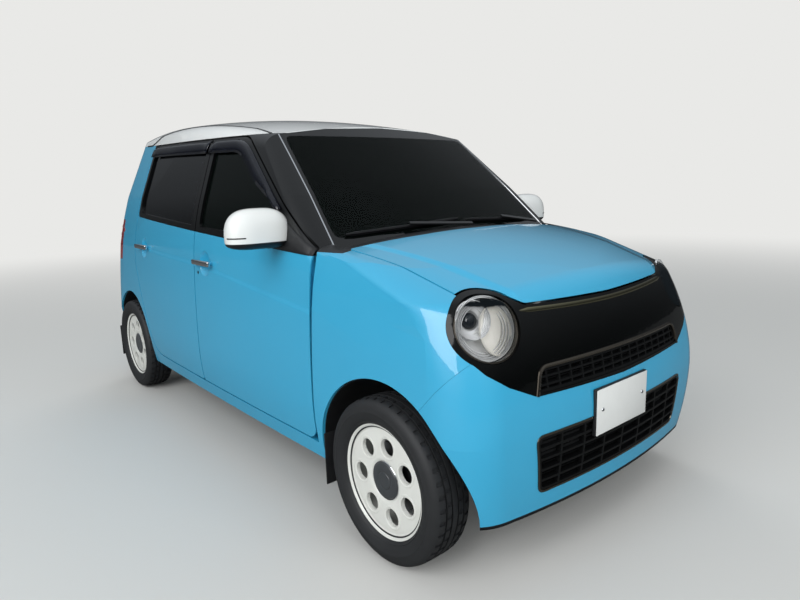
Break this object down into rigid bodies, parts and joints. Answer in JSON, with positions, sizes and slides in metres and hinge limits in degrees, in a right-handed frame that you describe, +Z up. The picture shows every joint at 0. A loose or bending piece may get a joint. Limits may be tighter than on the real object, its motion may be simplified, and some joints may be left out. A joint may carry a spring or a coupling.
{
  "type": "small five-door car",
  "caption": "Small five-door hatchback with a sky-blue body, white roof, round lamps in a black front mask and white steel wheels.",
  "frame": {"origin": "on the ground, under the middle of the car's length and width", "axes": "+X forward, +Y to the car's left, +Z up"},
  "size_m": [3.3949, 1.81, 1.6099],
  "materials": {
    "blue_paint": "gloss",
    "white_paint": "gloss",
    "white_enamel": "gloss",
    "clear_glass": "clear",
    "red_lens": "clear",
    "gloss_black": "gloss",
    "chrome": "polished",
    "black_steel": "satin",
    "black_plastic": "satin",
    "cast_metal": "rough",
    "bare_steel": "satin",
    "seat_cloth": "woven",
    "tyre_rubber": "matte"
  },
  "bodies": {
    "body": {"side_frames": "blue_paint", "roof_panel": "white_paint", "windscreen": "clear_glass", "tail_lamps": "red_lens", "rear_bumper": "blue_paint", "wings": "blue_paint", "front_bumper": "blue_paint", "front_mask": "gloss_black", "grilles": "gloss_black", "headlamps": "chrome", "headlamp_lenses": "clear_glass", "floor_pan": "black_steel", "fuel_tank": "black_plastic", "bulkhead_cowl": "black_steel", "arch_liners": "black_plastic", "front_frame": "black_steel", "engine_block": "cast_metal", "front_subframe": "black_steel", "rear_axle": "black_steel", "exhaust": "bare_steel", "dashboard": "black_plastic", "front_seats": "seat_cloth", "rear_bench": "seat_cloth"},
    "bonnet": {"bonnet": "blue_paint"},
    "tailgate": {"tailgate": "blue_paint", "glass_tailgate": "clear_glass"},
    "steering_wheel": {"steering_wheel": "black_plastic"},
    "door_front_right": {"door_front_right": "blue_paint", "glass_front_right": "clear_glass", "mirror_right": "white_paint"},
    "wheel_front_right": {"wheel_front_right": "white_enamel", "tyre_front_right": "tyre_rubber"},
    "door_front_left": {"door_front_left": "blue_paint", "glass_front_left": "clear_glass", "mirror_left": "white_paint"},
    "wheel_front_left": {"wheel_front_left": "white_enamel", "tyre_front_left": "tyre_rubber"},
    "door_rear_right": {"door_rear_right": "blue_paint", "glass_rear_right": "clear_glass"},
    "wheel_rear_right": {"wheel_rear_right": "white_enamel", "tyre_rear_right": "tyre_rubber"},
    "door_rear_left": {"door_rear_left": "blue_paint", "glass_rear_left": "clear_glass"},
    "wheel_rear_left": {"wheel_rear_left": "white_enamel", "tyre_rear_left": "tyre_rubber"},
    "knuckle_right": {"knuckle_right": "cast_metal"},
    "knuckle_left": {"knuckle_left": "cast_metal"}
  },
  "joints": [
    {"name": "door_front_right_hinge", "type": "hinge", "parent": "body", "child": "door_front_right", "pos_m": [0.854, -0.7145, 0.6], "axis": [0, 0, 1], "range_deg": [0, 65]},
    {"name": "door_rear_right_hinge", "type": "hinge", "parent": "body", "child": "door_rear_right", "pos_m": [-0.174, -0.7145, 0.6], "axis": [0, 0, 1], "range_deg": [0, 75]},
    {"name": "door_front_left_hinge", "type": "hinge", "parent": "body", "child": "door_front_left", "pos_m": [0.854, 0.7145, 0.6], "axis": [0, 0, -1], "range_deg": [0, 65]},
    {"name": "door_rear_left_hinge", "type": "hinge", "parent": "body", "child": "door_rear_left", "pos_m": [-0.174, 0.7145, 0.6], "axis": [0, 0, -1], "range_deg": [0, 75]},
    {"name": "bonnet_hinge", "type": "hinge", "parent": "body", "child": "bonnet", "pos_m": [0.985, 0, 0.977], "axis": [0, -1, 0], "range_deg": [0, 50]},
    {"name": "tailgate_hinge", "type": "hinge", "parent": "body", "child": "tailgate", "pos_m": [-1.44, 0, 1.552], "axis": [0, 1, 0], "range_deg": [0, 75]},
    {"name": "steer_right", "type": "hinge", "parent": "body", "child": "knuckle_right", "pos_m": [1.26, -0.6, 0.16], "axis": [0, 0.1564, 0.9877], "range_deg": [-38, 38]},
    {"name": "steer_left", "type": "hinge", "parent": "body", "child": "knuckle_left", "pos_m": [1.26, 0.6, 0.16], "axis": [0, -0.1564, 0.9877], "range_deg": [-38, 38]},
    {"name": "steering_wheel_turn", "type": "hinge", "parent": "body", "child": "steering_wheel", "pos_m": [0.43, -0.33, 0.93], "axis": [-0.9063, 0, 0.4226], "range_deg": [-570, 570]},
    {"name": "spin_front_right", "type": "hinge", "parent": "knuckle_right", "child": "wheel_front_right", "pos_m": [1.26, -0.6525, 0.2785], "axis": [0, 1, 0], "continuous": true},
    {"name": "spin_front_left", "type": "hinge", "parent": "knuckle_left", "child": "wheel_front_left", "pos_m": [1.26, 0.6525, 0.2785], "axis": [0, 1, 0], "continuous": true},
    {"name": "spin_rear_right", "type": "hinge", "parent": "body", "child": "wheel_rear_right", "pos_m": [-1.26, -0.6525, 0.2785], "axis": [0, 1, 0], "continuous": true},
    {"name": "spin_rear_left", "type": "hinge", "parent": "body", "child": "wheel_rear_left", "pos_m": [-1.26, 0.6525, 0.2785], "axis": [0, 1, 0], "continuous": true}
  ],
  "couplings": [
    {"joint": "steer_left", "follows": "steer_right", "ratio": 1},
    {"joint": "steering_wheel_turn", "follows": "steer_right", "ratio": 15}
  ]
}
